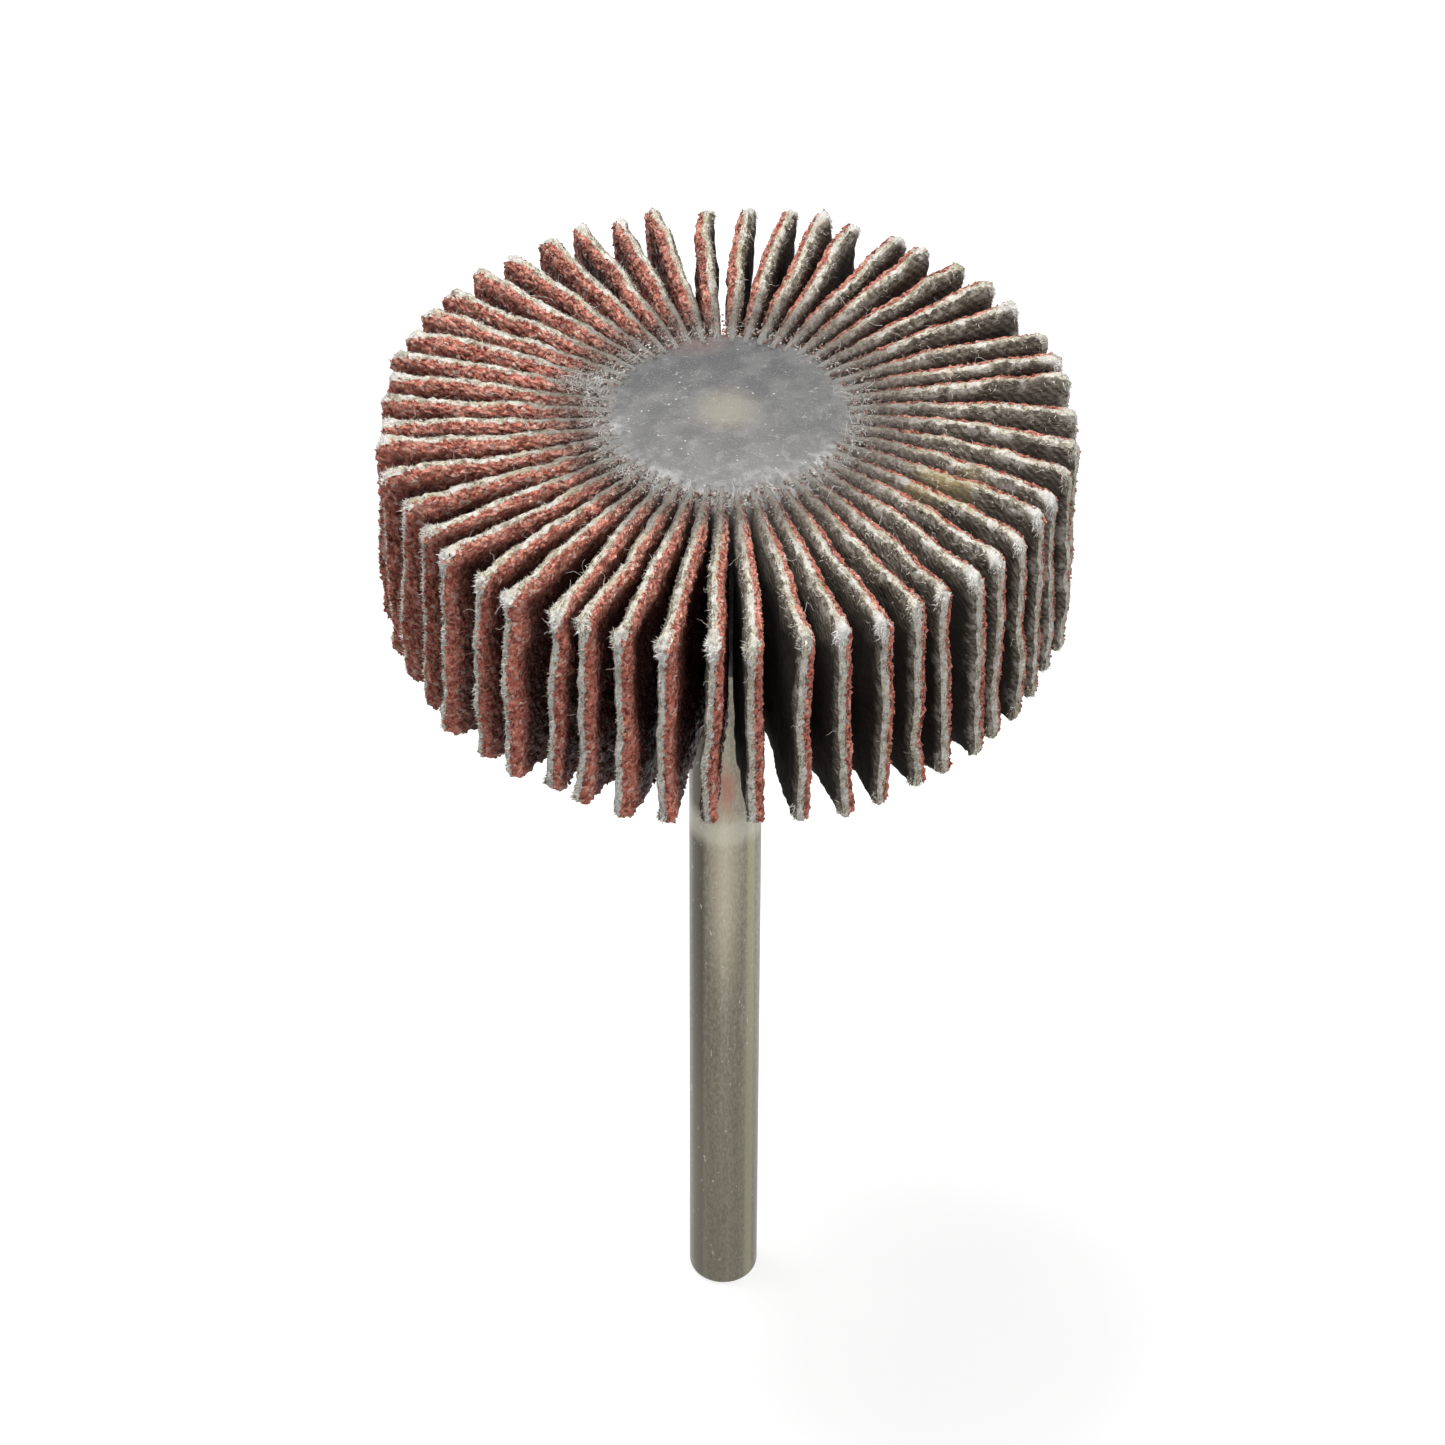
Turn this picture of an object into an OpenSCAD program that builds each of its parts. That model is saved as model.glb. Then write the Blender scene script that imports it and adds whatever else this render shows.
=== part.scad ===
// Sanding wheel: abrasive cloth flaps set edge-on around a shank in a resin core.
// The shank points down and the wheel sits on top of it.
// The origin is the middle of the shank's lower end, and +Z runs up the spin axis.

/* [Wheel] */
// Diameter over the flaps
wheel_d = 28.8; // [25:0.1:40]
// Width of the wheel along the shank
wheel_w = 9.8; // [6:0.1:16]
// Number of flaps around the wheel
flap_count = 52; // [44:1:56]
// Rounding worn onto the wheel's two outer edges
edge_wear_r = 0.4; // [0.2:0.05:0.8]
// How much shorter than the wheel's radius the most worn flap is
tip_wear = 0.25; // [0:0.05:0.5]

/* [Flaps] */
// Thickness of the woven cloth
cloth_t = 0.46; // [0.3:0.01:0.5]
// Thickness of the grit coat on the cloth
grit_t = 0.32; // [0.2:0.01:0.4]
// Diameter of the circle on which the flaps' inner ends lie
root_d = 9.4; // [9:0.1:10]
// Lean of an average flap's tip, in degrees against the turn
mean_lean = 1.3; // [0:0.1:2.5]
// How late along a flap its bend sets in: 1 is a straight flap
bend_power = 1.6; // [1.2:0.1:2.5]

/* [Resin core] */
// Diameter of the resin core that holds the flap roots
core_d = 11.6; // [11.2:0.1:12.4]
// Thickness of the resin film between two flap roots
root_film = 0.12; // [0.08:0.01:0.16]
// How far the resin stands proud of the wheel's faces at the shank
resin_bulge = 0.25; // [0.1:0.05:0.5]
// How far the resin's crown runs out past the flaps' inner ends
resin_lip = 0.15; // [0.1:0.05:0.4]
// How far the resin sinks between the flaps at the core's outer edge
resin_sink = 0.5; // [0.1:0.05:1]
// Thickness of resin over the shank's upper end
resin_skin = 0.3; // [0.2:0.05:0.8]

/* [Shank] */
// Diameter of the shank, which a collet grips
shank_d = 3.175; // [2.3:0.005:3.2]
// Length of the shank below the wheel
shank_free = 42; // [25:0.5:60]
// Chamfer on the shank's lower end
tip_chamfer = 0.35; // [0.1:0.05:0.6]
// Chamfer on the shank's upper end, inside the resin
top_chamfer = 0.2; // [0.1:0.05:0.4]
// Number of knurl grooves that key the shank into the resin
knurl_count = 24; // [12:1:30]
// Depth of the knurl grooves
knurl_depth = 0.12; // [0.05:0.01:0.2]
// How much smaller the knurled end's radius is than the plain shank's
knurl_inset = 0.2; // [0.16:0.01:0.3]

/* [Hidden] */
// Waves of the flaps' lean around the wheel: [times a turn, size in degrees, where it peaks]
LEAN_WAVES = [[1, 0.7, 130], [2, 1.5, 190], [3, 1.2, 95], [4, 1.3, 165], [5, 0.4, 50]];
// Flaps bent away from their neighbours: [number, extra lean in degrees]
ODD_FLAPS = [
    [2, -1.4], [9, 1.2], [15, 0.8], [19, -0.9], [23, 0.7], [28, 1.9],
    [30, -1.7], [34, 1], [35, -0.7], [36, 2], [41, 1.2], [46, -0.7]];
// The flap whose tip is hooked over, how far in degrees, and how sharply
HOOKED_FLAP = 40;
HOOK_LEAN = -1.5;
HOOK_POWER = 8;
// Direction of the first flap's root, seen from above, with 0 along +X
FIRST_ROOT = -175;
// Points along each side of a flap, and along each rounded edge
BEND_STEPS = 10;
WEAR_STEPS = 4;
// Points across the crown of the resin
CROWN_STEPS = 5;
// How far the flap blanks and the slots for them run past the wheel before they are trimmed
TRIM = 0.6;

wheel_r = wheel_d / 2;
core_r = core_d / 2;
root_r = root_d / 2;
crown_r = root_r + resin_lip;
shank_r = shank_d / 2;
flap_t = cloth_t + grit_t;
cloth_share = cloth_t / flap_t;
wheel_bottom = shank_free;
wheel_top = shank_free + wheel_w;
resin_top = wheel_top + resin_bulge;
shank_top = resin_top - resin_skin;
shoulder = wheel_bottom - resin_bulge / 2;
knurl_r = shank_r - knurl_inset;

function flap_name(i) = str("flap_", i < 10 ? "0" : "", i);

// Sum of a list
function total(values, i = 0) = i < len(values) ? values[i] + total(values, i + 1) : 0;

// A point at a radius and a direction
function polar(r, angle) = [r * cos(angle), r * sin(angle)];

// Direction of a flap's root around the wheel
function root_angle(i) = FIRST_ROOT + (i - 1) * 360 / flap_count;

// Extra lean of a flap that is bent away from its neighbours
function odd_lean(i) = total([for (odd = ODD_FLAPS) if (odd[0] == i) odd[1]]);

// Lean of a flap's tip away from its root
function tip_lean(i) =
    odd_lean(i) - mean_lean
    + total([for (w = LEAN_WAVES) w[1] * cos(w[0] * root_angle(i) - w[2])]);

// How far out along the free flap a radius lies, from 0 at the core to 1 at the rim
function reach(r) = max(0, r - root_r) / (wheel_r - root_r);

// Direction of a flap's middle line at a radius
function flap_angle(i, r) =
    root_angle(i)
    + tip_lean(i) * pow(reach(r), bend_power)
    + (i == HOOKED_FLAP ? HOOK_LEAN * pow(reach(r), HOOK_POWER) : 0);

// Thickness of a flap at a radius: squeezed by its neighbours at the root, then free
function flap_thickness(r) = min(flap_t, 2 * PI * r / flap_count - root_film);

// A point of a flap at a radius: across is 0 on the cloth face and 1 on the grit face
function flap_point(i, r, across) =
    polar(r, flap_angle(i, r) + (across - 0.5) * flap_thickness(r) / r * 180 / PI);

// Radii of the points along a flap, from its root to past its tip
function bend_radius(j) = root_r + (wheel_r + TRIM - root_r) * j / BEND_STEPS;

// Wear of a flap's tip, from 0 to tip_wear, which changes from flap to flap
function flap_wear(i) = tip_wear * (0.5 + 0.5 * sin(i * i * 77));

// One layer of a flap between two depths across it, as a bent sheet over the wheel's width
module flap_layer(i, from, to, over = 0) {
    translate([0, 0, wheel_bottom - over])
        linear_extrude(height = wheel_w + 2 * over)
            polygon(concat(
                [for (j = [0 : BEND_STEPS]) flap_point(i, bend_radius(j), from)],
                [for (j = [BEND_STEPS : -1 : 0]) flap_point(i, bend_radius(j), to)]));
}

// The space that a flap of a given reach spins in, with its outer edges worn round
module worn_envelope(r) {
    wear = min(edge_wear_r, wheel_w / 2);
    rotate_extrude()
        polygon(concat(
            [[0, wheel_bottom]],
            [for (j = [0 : WEAR_STEPS])
                let (a = 90 * j / WEAR_STEPS - 90)
                [r - wear + wear * cos(a), wheel_bottom + wear + wear * sin(a)]],
            [for (j = [0 : WEAR_STEPS])
                let (a = 90 * j / WEAR_STEPS)
                [r - wear + wear * cos(a), wheel_top - wear + wear * sin(a)]],
            [[0, wheel_top]]));
}

// One abrasive flap: woven cloth with a coat of grit, trimmed to the wheel's outline
module flap(i) {
    intersection() {
        union() {
            color("antiquewhite") flap_layer(i, 0, cloth_share);
            color("indianred") flap_layer(i, cloth_share, 1);
        }
        worn_envelope(wheel_r - flap_wear(i));
    }
}

// Crown of the resin on one face of the wheel, from the axis out to the core's edge
function crown(face, out) = concat(
    [for (j = [0 : CROWN_STEPS])
        [crown_r * j / CROWN_STEPS, face + out * resin_bulge * (1 - pow(j / CROWN_STEPS, 2))]],
    [[core_r, face - out * resin_sink]]);

// Resin core, moulded around the shank and the flap roots
module resin_core() {
    color("dimgray")
        difference() {
            rotate_extrude()
                polygon(concat(
                    crown(wheel_top, 1),
                    [for (j = [CROWN_STEPS + 1 : -1 : 0]) crown(wheel_bottom, -1)[j]]));
            shank();
            for (i = [1 : flap_count])
                flap_layer(i, 0, 1, TRIM);
        }
}

// Plain turned shank from its lower end to the shoulder, which lies just inside the resin
module plain_shank() {
    rotate_extrude()
        polygon([
            [0, 0],
            [shank_r - tip_chamfer, 0],
            [shank_r, tip_chamfer],
            [shank_r, shoulder],
            [0, shoulder]]);
}

// Knurled end of the shank, turned down from the shoulder and keyed into the resin
module knurled_end() {
    intersection() {
        translate([0, 0, shoulder])
            linear_extrude(height = shank_top - shoulder)
                polygon([for (k = [0 : 2 * knurl_count - 1])
                    polar(knurl_r - (k % 2) * knurl_depth, k * 180 / knurl_count)]);
        rotate_extrude()
            polygon([
                [0, shoulder],
                [shank_r, shoulder],
                [shank_r, shank_top - top_chamfer - knurl_inset],
                [knurl_r - top_chamfer, shank_top],
                [0, shank_top]]);
    }
}

// Steel shank in one piece
module shank() {
    color("tan") {
        plain_shank();
        knurled_end();
    }
}

shank();
resin_core();
for (i = [1 : flap_count])
    flap(i);
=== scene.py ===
"""Looks of a small sanding wheel: fraying abrasive flaps, a cast resin core and a satin steel shank."""

import itertools
import math
import random

import bmesh
import bpy
import numpy as np
from mathutils import Euler, Matrix, Vector, noise


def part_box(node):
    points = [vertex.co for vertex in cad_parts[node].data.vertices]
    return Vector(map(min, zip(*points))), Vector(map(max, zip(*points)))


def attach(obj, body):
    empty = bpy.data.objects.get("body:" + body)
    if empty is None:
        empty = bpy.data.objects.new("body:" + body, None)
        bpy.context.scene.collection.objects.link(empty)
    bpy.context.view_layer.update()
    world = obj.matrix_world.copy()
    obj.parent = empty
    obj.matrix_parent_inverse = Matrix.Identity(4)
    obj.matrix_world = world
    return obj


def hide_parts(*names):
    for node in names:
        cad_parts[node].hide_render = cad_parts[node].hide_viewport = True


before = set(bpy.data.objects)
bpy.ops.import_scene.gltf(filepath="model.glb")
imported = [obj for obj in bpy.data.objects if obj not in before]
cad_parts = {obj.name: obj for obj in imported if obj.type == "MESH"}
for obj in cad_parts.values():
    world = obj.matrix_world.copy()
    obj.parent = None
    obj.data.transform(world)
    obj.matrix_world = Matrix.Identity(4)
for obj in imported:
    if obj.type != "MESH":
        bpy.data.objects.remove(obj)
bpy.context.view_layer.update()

MM = 0.001

# Camera: where it stands, how far it looks down, its roll, and its lens on a 36 mm sensor
CAMERA_SPOT = Vector((-0.143, -162.98, 183.62)) * MM
CAMERA_LOOKS_DOWN = math.radians(42.42)
CAMERA_ROLL = math.radians(0.24)
CAMERA_LENS = 127.66

# Light: strength of the white room, and watts of the soft boxes
ROOM_LIGHT = 0.24
KEY_WATTS = 2.0
FRONT_WATTS = 1.05
FLOOR_TONE = 0.42
FLOOR_GLOW = 0.76

# Flat flap: columns out to the tip, rows up the height, layers across, and how rows crowd at its ends
COLUMNS = 50
ROWS = 36
LAYERS = 5
CROWDING = math.radians(74)
# Different flat flaps that the wheel's flaps are made from
BLANKS = 6
# Share of a cut edge that is cloth, and where across it the pale fraying begins on top and on the rim
CLOTH_SHARE = 0.62
FRAY_ON_TOP = 0.24
FRAY_ON_RIM = 0.02

# Share of a flap's thickness that its slab has, before its grains and fibres stand proud of it
LEANNESS = 0.80
# How far the frayed crest of an edge stands up, in millimetres
RIDGE = 0.09

# Grains, fibres, tuft fibres and long hairs on one flap
GRAINS = 560
NAP_FIBRES = 640
TUFT_FIBRES = 110
LONG_HAIRS = 9
FIBRE_RADIUS = 0.019
HAIR_RADIUS = 0.011
# Crumbs of grit and dust on the flaps' roots
CRUMB_BATCHES = 12
CRUMBS_IN_BATCH = 250

WHITE = (1.0, 1.0, 1.0, 1.0)


def wheel_nodes():
    """Names of the flap nodes in order around the wheel."""
    return sorted(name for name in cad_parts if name.startswith("flap_"))


WHEEL_LOW, WHEEL_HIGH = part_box(wheel_nodes()[0])
WHEEL_BOTTOM = WHEEL_LOW.z
WHEEL_TOP = WHEEL_HIGH.z
CORE_LOW, CORE_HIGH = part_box("resin_core")
CORE_RADIUS = CORE_HIGH.x
SHANK_LOW, SHANK_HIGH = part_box("shank")
SHANK_RADIUS = SHANK_HIGH.x

# Size of the flat flap in millimetres
FLAP_LENGTH = 9.7
FLAP_HEIGHT = (WHEEL_TOP - WHEEL_BOTTOM) / MM
FLAP_THICKNESS = 0.78


class Finish:
    """One material's node tree, with short calls for the nodes that the finishes share."""

    def __init__(self, name):
        self.material = bpy.data.materials.new(name)
        self.material.use_nodes = True
        self.nodes = self.material.node_tree.nodes
        self.links = self.material.node_tree.links
        self.shader = self.nodes["Principled BSDF"]
        self.coordinates = None

    def put(self, socket, value):
        """Sets or links a socket."""
        if isinstance(value, bpy.types.NodeSocket):
            self.links.new(value, socket)
        elif isinstance(value, tuple) and len(value) == 3 and socket.type == "RGBA":
            socket.default_value = (*value, 1.0)
        else:
            socket.default_value = value

    def add(self, kind, settings=None, **inputs):
        """A node with its settings, and its inputs by name: a socket is linked and a value is set."""
        node = self.nodes.new(kind)
        for name, value in (settings or {}).items():
            setattr(node, name, value)
        for name, value in inputs.items():
            self.put(node.inputs[name.replace("_", " ")], value)
        return node

    def place(self):
        """Position on the piece in millimetres."""
        if self.coordinates is None:
            here = self.add("ShaderNodeTexCoord").outputs["Object"]
            scaled = self.add("ShaderNodeVectorMath", {"operation": "SCALE"}, Vector=here, Scale=1000.0)
            self.coordinates = scaled.outputs["Vector"]
        return self.coordinates

    def stretched(self, where, scale, shift=(0.0, 0.0, 0.0)):
        """A position with its directions scaled, for a pattern that is drawn out."""
        return self.add("ShaderNodeMapping", None, Vector=where, Scale=scale, Location=shift).outputs["Vector"]

    def noise(self, scale, detail=3.0, roughness=0.6, where=None, distortion=0.0):
        """Cloudy pattern from 0 to 1, with so many blotches to the millimetre."""
        node = self.add("ShaderNodeTexNoise", None, Vector=where or self.place(), Scale=scale,
                        Detail=detail, Roughness=roughness, Distortion=distortion)
        return node.outputs["Fac"]

    def sum(self, operation, a, b=0.0, clamp=False):
        """Sum, product or other function of two values."""
        node = self.add("ShaderNodeMath", {"operation": operation, "use_clamp": clamp})
        self.put(node.inputs[0], a)
        self.put(node.inputs[1], b)
        return node.outputs[0]

    def ramp(self, value, stops):
        """Colour along a value: stops are (place, colour)."""
        node = self.add("ShaderNodeValToRGB", None, Fac=value)
        ramp = node.color_ramp
        while len(ramp.elements) < len(stops):
            ramp.elements.new(1.0)
        for element, (place, colour) in zip(ramp.elements, stops):
            element.position = place
            element.color = (*colour, 1.0)
        return node.outputs["Color"]

    def step(self, value, low, high):
        """0 below low, 1 above high, and a smooth rise between them."""
        node = self.add("ShaderNodeMapRange", {"interpolation_type": "SMOOTHSTEP"}, Value=value)
        node.inputs["From Min"].default_value = low
        node.inputs["From Max"].default_value = high
        return node.outputs["Result"]

    def mix(self, share, a, b):
        """Colour a where share is 0 and colour b where it is 1."""
        node = self.add("ShaderNodeMix", {"data_type": "RGBA"})
        self.put(node.inputs["Factor"], share)
        self.put(node.inputs[6], a)
        self.put(node.inputs[7], b)
        return node.outputs[2]

    def blend(self, share, a, b):
        """Value a where share is 0 and value b where it is 1."""
        node = self.add("ShaderNodeMix", {"data_type": "FLOAT"})
        self.put(node.inputs["Factor"], share)
        self.put(node.inputs[2], a)
        self.put(node.inputs[3], b)
        return node.outputs[0]

    def flap_place(self):
        """Distances in millimetres from a flap's tip and its upper edge, and its depth from cloth to grit."""
        flat = self.add("ShaderNodeAttribute", {"attribute_name": "flat_place"}).outputs["Vector"]
        from_tip = self.sum("SUBTRACT", FLAP_LENGTH, self.part(flat, "X"))
        from_top = self.sum("SUBTRACT", FLAP_HEIGHT, self.part(flat, "Y"))
        return from_tip, from_top, self.sum("DIVIDE", self.part(flat, "Z"), FLAP_THICKNESS)

    def part(self, vector, name):
        """One part of a position or a colour."""
        return self.add("ShaderNodeSeparateXYZ", None, Vector=vector).outputs[name]

    def bump(self, height, depth):
        """Relief of so many metres."""
        return self.add("ShaderNodeBump", None, Height=height, Distance=depth).outputs["Normal"]

    def radius(self):
        """Distance from the wheel's axis in millimetres."""
        flat = self.add("ShaderNodeVectorMath", {"operation": "MULTIPLY"}, Vector=self.place())
        flat.inputs[1].default_value = (1.0, 1.0, 0.0)
        length = self.add("ShaderNodeVectorMath", {"operation": "LENGTH"}, Vector=flat.outputs["Vector"])
        return length.outputs["Value"]

    def distance(self, spot, scale=(1.0, 1.0, 1.0)):
        """Distance from a spot, with its directions scaled."""
        moved = self.add("ShaderNodeVectorMath", {"operation": "SUBTRACT"}, Vector=self.place())
        moved.inputs[1].default_value = spot
        flat = self.add("ShaderNodeVectorMath", {"operation": "MULTIPLY"}, Vector=moved.outputs["Vector"])
        flat.inputs[1].default_value = scale
        length = self.add("ShaderNodeVectorMath", {"operation": "LENGTH"}, Vector=flat.outputs["Vector"])
        return length.outputs["Value"]

    def finish(self, colour, roughness, normal=None, metallic=0.0, specular=0.5):
        """Joins the results to the shader."""
        self.put(self.shader.inputs["Base Color"], colour)
        self.put(self.shader.inputs["Roughness"], roughness)
        self.shader.inputs["Metallic"].default_value = metallic
        self.shader.inputs["Specular IOR Level"].default_value = specular
        if normal:
            self.links.new(normal, self.shader.inputs["Normal"])
        return self.material


def grit_colour(finish):
    """Red-brown mineral grains of uneven tint, some pale and glinting, with painted shade deep down and in the
    hollows of their lumps; and their relief.
    """
    grains = finish.add("ShaderNodeTexVoronoi", None, Vector=finish.place(), Scale=6.0, Randomness=1.0)
    tint = finish.part(grains.outputs["Color"], "X")
    colour = finish.ramp(tint, [
        (0.0, (0.26, 0.060, 0.042)), (0.22, (0.62, 0.180, 0.123)), (0.66, (0.86, 0.32, 0.235)),
        (0.91, (0.92, 0.47, 0.36)), (1.0, (0.96, 0.76, 0.66))])
    patches = finish.step(finish.noise(1.6, 3.0), 0.40, 0.62)
    colour = finish.mix(finish.sum("MULTIPLY", patches, 0.4), colour, (0.24, 0.062, 0.045))
    dust = finish.step(finish.noise(3.4, 4.0), 0.54, 0.70)
    colour = finish.mix(finish.sum("MULTIPLY", dust, 0.28), colour, (0.80, 0.46, 0.37))
    from_tip, from_top, _ = finish.flap_place()
    fleck = finish.sum("MULTIPLY", finish.step(finish.noise(5.5, 3.0), 0.49, 0.62), 0.45)
    upper = finish.sum("SUBTRACT", 1.0, finish.step(from_top, 0.1, 0.7))
    colour = finish.mix(finish.sum("MULTIPLY", fleck, upper), colour, (0.82, 0.60, 0.47))
    # Painted shade: the grit darkens to near black away from the tip and the upper edge, deep in the gaps between
    # flaps.
    depth = finish.sum("MINIMUM", from_tip, from_top)
    depth = finish.sum("ADD", depth, finish.noise(1.2, 3.0))
    painted_dark = finish.sum("MULTIPLY", finish.step(depth, 0.70, 1.8), 0.92)
    colour = finish.mix(painted_dark, colour, (0.055, 0.014, 0.010))
    lumps = finish.noise(3.2, 2.0)
    # Painted shade: the grit is darkened in the low parts of its lumps, where the relief dips.
    painted_hollow_shade = finish.sum("SUBTRACT", 1.0, finish.step(lumps, 0.34, 0.52))
    colour = finish.mix(finish.sum("MULTIPLY", painted_hollow_shade, 0.55), colour, (0.15, 0.038, 0.027))
    relief = finish.sum("SUBTRACT", finish.sum("MULTIPLY", lumps, 1.6), grains.outputs["Distance"])
    return colour, relief, tint


def soaked(finish, colour, inner, outer, tone):
    """Resin has crept into the flap and greyed it near the core."""
    edge = finish.sum("ADD", finish.radius(), finish.sum("MULTIPLY", finish.noise(0.9, 2.0), 1.6))
    share = finish.step(edge, inner, outer)
    wet = finish.mix(0.82, colour, tone)
    dusty = finish.step(finish.noise(6.0, 4.0, 0.75), 0.46, 0.60)
    wet = finish.mix(finish.sum("MULTIPLY", dusty, 0.55), wet, (0.40, 0.345, 0.31))
    colour = finish.mix(share, wet, colour)
    hazed = finish.sum("SUBTRACT", 1.0, finish.step(edge, 6.0, 7.1))
    return finish.mix(finish.sum("MULTIPLY", hazed, 0.75), colour, (0.36, 0.35, 0.33))


def make_grit():
    """Grit coat of the flaps."""
    finish = Finish("red_grit")
    colour, relief, tint = grit_colour(finish)
    fine = finish.noise(24.0, 2.0)
    height = finish.sum("ADD", relief, finish.sum("MULTIPLY", fine, 0.5))
    roughness = finish.sum("SUBTRACT", 0.72, finish.sum("MULTIPLY", tint, 0.4))
    colour = soaked(finish, colour, 6.8, 9.0, (0.165, 0.118, 0.10))
    return finish.finish(colour, roughness, finish.bump(height, 0.14 * MM), specular=0.25)


def cloth_face(finish, along, relief):
    """Uncut face of the cloth: dirty taupe, streaked along the flap, with painted shade nearly black deep in the
    gaps.
    """
    from_tip, from_top, _ = finish.flap_place()
    face = finish.ramp(relief, [
        (0.34, (0.050, 0.041, 0.032)), (0.46, (0.13, 0.113, 0.088)), (0.56, (0.25, 0.223, 0.178)),
        (0.68, (0.44, 0.40, 0.33))])
    patches = finish.step(finish.noise(0.7, 4.0, 0.65), 0.44, 0.60)
    face = finish.mix(finish.sum("MULTIPLY", patches, 0.5), face, (0.085, 0.072, 0.056))
    # Painted shade: the face darkens to near black away from the upper edge and the tip, deep in the gaps between
    # flaps.
    depth = finish.sum("MINIMUM", from_top, finish.sum("MULTIPLY", from_tip, 3.5))
    depth = finish.sum("ADD", depth, finish.noise(0.8, 3.0))
    painted_dark = finish.sum("MULTIPLY", finish.step(depth, 0.9, 2.5), 0.93)
    return finish.mix(painted_dark, face, (0.013, 0.010, 0.008))


def cloth_colour(finish):
    """Cloth: cream and fluffy on the crest where it frays, else dirty with painted shade deep in the gaps, and
    with painted light on the rims of the wheel's left side; and its relief.
    """
    along = finish.add("ShaderNodeUVMap", {"uv_map": "cloth"}).outputs["UV"]
    from_tip, from_top, across = finish.flap_place()
    weave = finish.add("ShaderNodeTexWave", {"wave_type": "BANDS", "bands_direction": "DIAGONAL"},
                       Vector=along, Scale=1.5, Distortion=2.0, Detail=2.0, Detail_Scale=3.0)
    nap = finish.noise(1.0, 6.0, 0.72, finish.stretched(along, (1.6, 7.0, 1.0)), 0.6)
    relief = finish.blend(0.88, weave.outputs["Fac"], nap)
    face = cloth_face(finish, along, relief)
    streak_place = finish.add("ShaderNodeCombineXYZ", None, X=finish.part(along, "X"),
                              Y=finish.part(along, "Y"), Z=finish.sum("MULTIPLY", across, 6.0))
    drawn = finish.noise(1.5, 5.0, 0.72, streak_place.outputs["Vector"], 0.5)
    fluff = finish.blend(0.45, finish.noise(5.0, 5.0, 0.75, distortion=0.7), drawn)
    frayed = finish.ramp(fluff, [
        (0.40, (0.15, 0.12, 0.090)), (0.46, (0.38, 0.33, 0.245)), (0.51, (0.72, 0.66, 0.52)),
        (0.58, (0.95, 0.91, 0.81))])
    worn = finish.noise(1.2, 4.0, 0.7, finish.stretched(finish.place(), (1.0, 1.0, 1.0), (7.0, 3.0, 1.0)))
    frayed = finish.mix(finish.sum("MULTIPLY", finish.step(worn, 0.52, 0.64), 0.5), frayed,
                        (0.30, 0.25, 0.175))
    tan = finish.step(finish.noise(0.45, 3.0), 0.50, 0.66)
    frayed = finish.mix(finish.sum("MULTIPLY", tan, 0.45), frayed, (0.60, 0.50, 0.30))
    white = finish.step(finish.noise(1.5, 4.0, 0.7), 0.50, 0.60)
    edge = finish.sum("MINIMUM", from_tip, from_top)
    near = finish.sum("SUBTRACT", 1.0, finish.step(edge, 0.1, 0.8))
    corner = finish.sum("SUBTRACT", 1.0, finish.step(finish.sum("ADD", from_tip, from_top), 0.3, 1.1))
    corner = finish.sum("MULTIPLY", corner, finish.step(finish.noise(0.35, 2.0), 0.40, 0.60))
    pale = finish.sum("MAXIMUM", finish.sum("MULTIPLY", white, 0.6), finish.sum("MULTIPLY", corner, 0.8))
    frayed = finish.mix(pale, frayed, (0.93, 0.92, 0.89))
    patch = finish.sum("MULTIPLY", finish.sum("MULTIPLY", near, white), 0.15)
    patch = finish.sum("MAXIMUM", patch, finish.sum("MULTIPLY", corner, 0.3))
    rim = finish.sum("SUBTRACT", 1.0, finish.step(from_tip, 0.05, 0.3))
    bleached = finish.sum("MULTIPLY", rim, finish.step(finish.noise(2.2, 4.0, 0.7), 0.44, 0.60))
    frayed = finish.mix(finish.sum("MULTIPLY", bleached, 0.6), frayed, (0.88, 0.87, 0.83))
    grimy = finish.sum("MULTIPLY", rim, finish.step(finish.noise(3.1, 5.0, 0.75), 0.50, 0.60))
    frayed = finish.mix(finish.sum("MULTIPLY", grimy, 0.55), frayed, (0.24, 0.215, 0.175))
    # Painted light: the rims on the wheel's left side are painted paler, as if lit from the left.
    left = finish.step(finish.sum("MULTIPLY", finish.part(finish.place(), "X"), -1.0), -2.0, 5.0)
    painted_left_light = finish.sum("MULTIPLY", finish.sum("MULTIPLY", rim, left), finish.step(fluff, 0.42, 0.56))
    frayed = finish.mix(finish.sum("MULTIPLY", painted_left_light, 0.6), frayed, (0.96, 0.95, 0.92))
    begins = finish.blend(finish.step(from_tip, 0.25, 0.8), FRAY_ON_RIM, FRAY_ON_TOP)
    ragged = finish.sum("ADD", across, finish.sum("MULTIPLY", fluff, 0.6))
    ragged = finish.sum("ADD", ragged, finish.sum("MULTIPLY", finish.noise(1.1, 2.0), 0.4))
    ragged = finish.sum("SUBTRACT", finish.sum("ADD", ragged, patch), begins)
    share = finish.step(ragged, 0.46, 0.58)
    share = finish.sum("MULTIPLY", share, finish.step(across, 0.01, 0.08))
    share = finish.sum("MAXIMUM", share, finish.sum("MULTIPLY", patch, 2.4))
    colour = finish.mix(share, face, frayed)
    spot = finish.distance((8.6, -4.3, WHEEL_TOP / MM), (0.45, 0.75, 0.5))
    rough_spot = finish.sum("ADD", spot, finish.sum("MULTIPLY", finish.noise(1.3, 3.0), 1.6))
    tinted_patch = finish.sum("SUBTRACT", 1.0, finish.step(rough_spot, 0.9, 1.9))
    colour = finish.mix(finish.sum("MULTIPLY", tinted_patch, 0.6), colour, (0.50, 0.39, 0.18))
    relief = finish.blend(share, relief, fluff)
    return soaked(finish, colour, 7.3, 10.4, (0.130, 0.110, 0.090)), relief


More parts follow.
